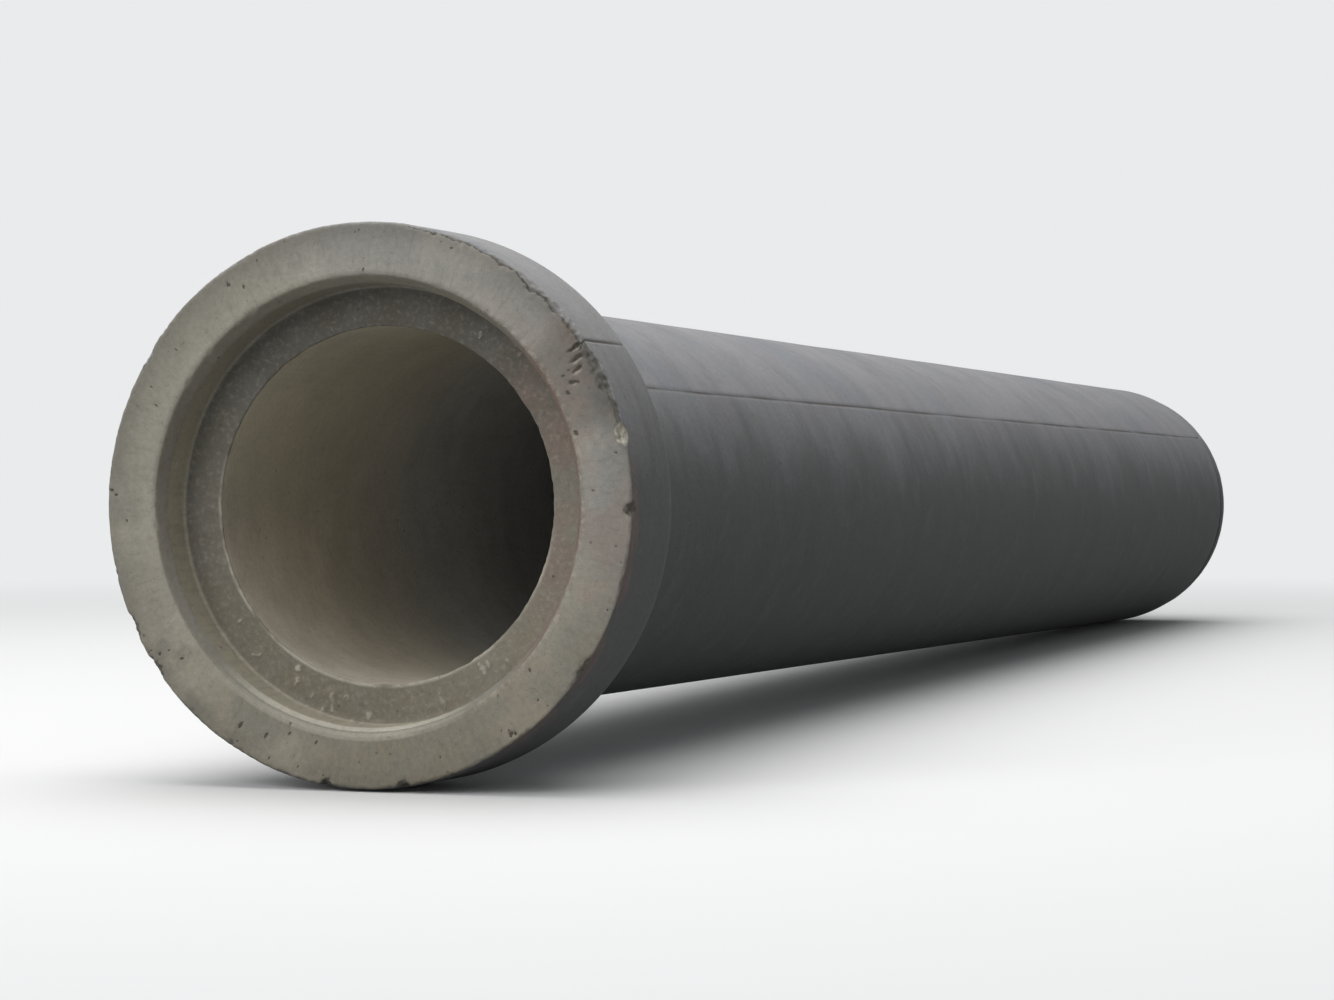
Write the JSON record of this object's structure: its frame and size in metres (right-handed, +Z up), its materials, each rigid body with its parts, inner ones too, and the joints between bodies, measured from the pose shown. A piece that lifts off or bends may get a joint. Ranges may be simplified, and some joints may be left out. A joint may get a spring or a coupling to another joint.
{
  "type": "concrete sewer pipe",
  "caption": "Round concrete sewer pipe lying on its side: a straight barrel with a stepped bell and socket at one end and a grooved spigot at the other.",
  "frame": {"origin": "on the floor, below the middle of the pipe's bounding box", "axes": "+Z up from the floor; the pipe lies along Y with the bell's face to -Y and the spigot to +Y, its axis falling 1.04 degrees towards the spigot; X across the pipe"},
  "size_m": [0.6298, 4.0692, 0.6322],
  "materials": {
    "concrete": "matt cast concrete"
  },
  "bodies": {
    "root": {"pipe": "concrete"}
  },
  "joints": []
}
